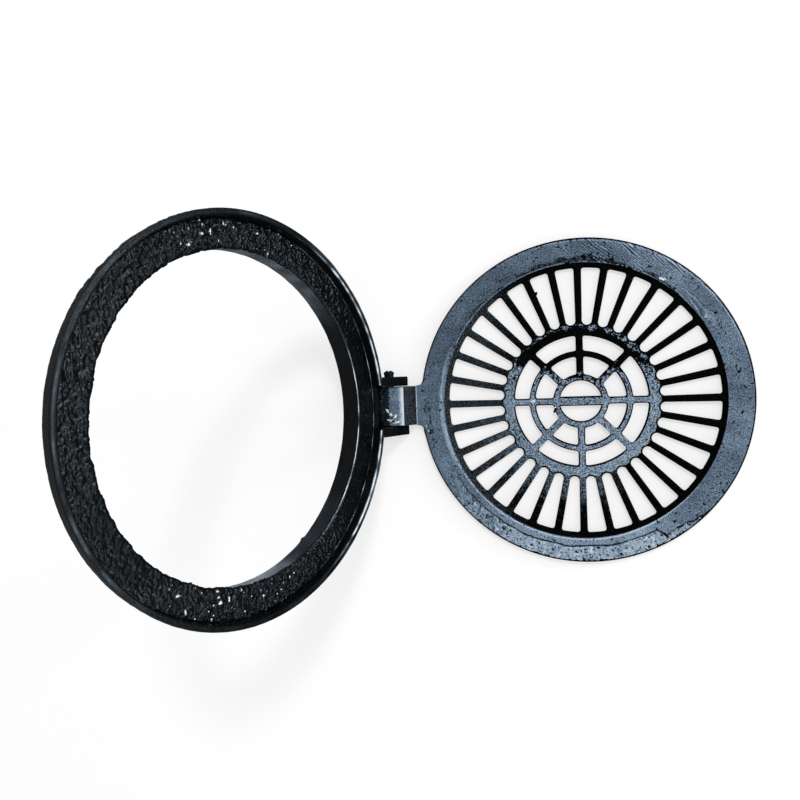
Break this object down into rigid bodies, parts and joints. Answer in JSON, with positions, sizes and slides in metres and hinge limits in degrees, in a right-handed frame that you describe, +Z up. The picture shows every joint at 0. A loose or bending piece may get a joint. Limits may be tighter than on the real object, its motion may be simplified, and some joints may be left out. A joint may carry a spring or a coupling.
{
  "type": "storm drain grate",
  "caption": "Round slotted drain grate hinged to a ring frame with lip, seat and skirt, lying opened with its underside up.",
  "frame": {"origin": "centre of the grate's service face, on the ground that it lies on", "axes": "+Z up, away from the service face; +X from the hinge through the grate's centre towards its free edge; +Y along the hinge pin towards its split end. The ring frame stands up from the hinge at -X, opened 115 degrees from the grate."},
  "size_m": [0.3202, 0.2114, 0.2149],
  "materials": {
    "frame": "rough sand casting under glossy black paint",
    "grate": "sand casting under satin black paint",
    "hinge_pin": "steel pin under worn black paint"
  },
  "bodies": {
    "grate": {"grate": "grate"},
    "frame": {"frame": "frame", "hinge_pin": "hinge_pin"}
  },
  "joints": [
    {"name": "frame_hinge", "type": "hinge", "parent": "grate", "child": "frame", "pos_m": [-0.12, 0, 0.0075], "axis": [0, 1, 0], "range_deg": [-45, 115]}
  ]
}
